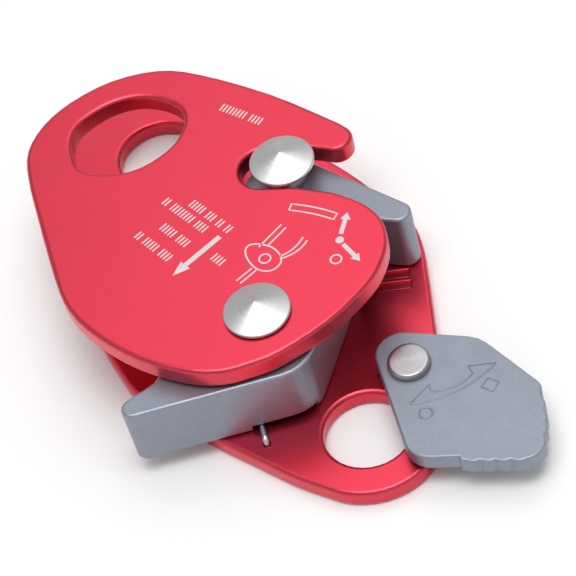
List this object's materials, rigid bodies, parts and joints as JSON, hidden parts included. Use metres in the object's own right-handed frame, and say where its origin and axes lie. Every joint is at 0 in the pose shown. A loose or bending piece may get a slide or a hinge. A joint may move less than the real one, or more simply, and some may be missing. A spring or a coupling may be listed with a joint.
{
  "type": "rope grab",
  "caption": "Lever-controlled rope grab and descender: two riveted side plates, a sprung cam, a fixed anvil, a swinging front plate and a stop lever.",
  "frame": {"origin": "the pivot rivet's axis at the rear face of the back plate, which the part lies on", "axes": "+X from the pivot rivet to the catch rivet, +Z out of the front plate, +Y towards the side where the connector eyes are"},
  "size_m": [0.1147, 0.1154, 0.0284],
  "materials": {
    "red_anodised": "satin red anodised, fine bead-blasted grain, rounded edges",
    "cast_steel": "bead-blasted cast steel with a pale metallic grey coat, edges rubbed bright",
    "turned_steel": "turned stainless steel with fine rings from the lathe",
    "spring_wire": "bright drawn wire",
    "bearing_bronze": "plain bearing bronze"
  },
  "bodies": {
    "frame": {"back_plate": "red_anodised", "pivot_rivet": "turned_steel", "pivot_sleeve": "turned_steel", "catch_rivet": "turned_steel", "catch_collar": "turned_steel", "anvil_block": "cast_steel", "anvil_dowel_upper": "turned_steel", "anvil_dowel_lower": "turned_steel", "lever_rivet": "turned_steel", "lever_washer": "turned_steel", "cam_spring": "spring_wire"},
    "front_cover": {"front_plate": "red_anodised", "front_plate_bush": "bearing_bronze"},
    "cam": {"cam_block": "cast_steel", "cam_bush": "bearing_bronze", "cam_thrust_washer": "turned_steel"},
    "lever": {"stop_lever": "cast_steel", "lever_spring_washer": "spring_wire", "detent_ball": "turned_steel", "detent_spring": "spring_wire"}
  },
  "joints": [
    {"name": "front_plate_swing", "type": "hinge", "parent": "frame", "child": "front_cover", "pos_m": [0, 0, 0.0225], "axis": [0, 0, 1], "range_deg": [-5.5, 250]},
    {"name": "cam_pivot", "type": "hinge", "parent": "frame", "child": "cam", "pos_m": [0, 0, 0.012], "axis": [0, 0, 1], "range_deg": [-26, 0], "stiffness_Nm_per_rad": 0.06, "springref_deg": 28.65},
    {"name": "lever_pivot", "type": "hinge", "parent": "frame", "child": "lever", "pos_m": [-0.0016, -0.0287, 0.0072], "axis": [0, 0, 1], "range_deg": [-65, 18]}
  ]
}
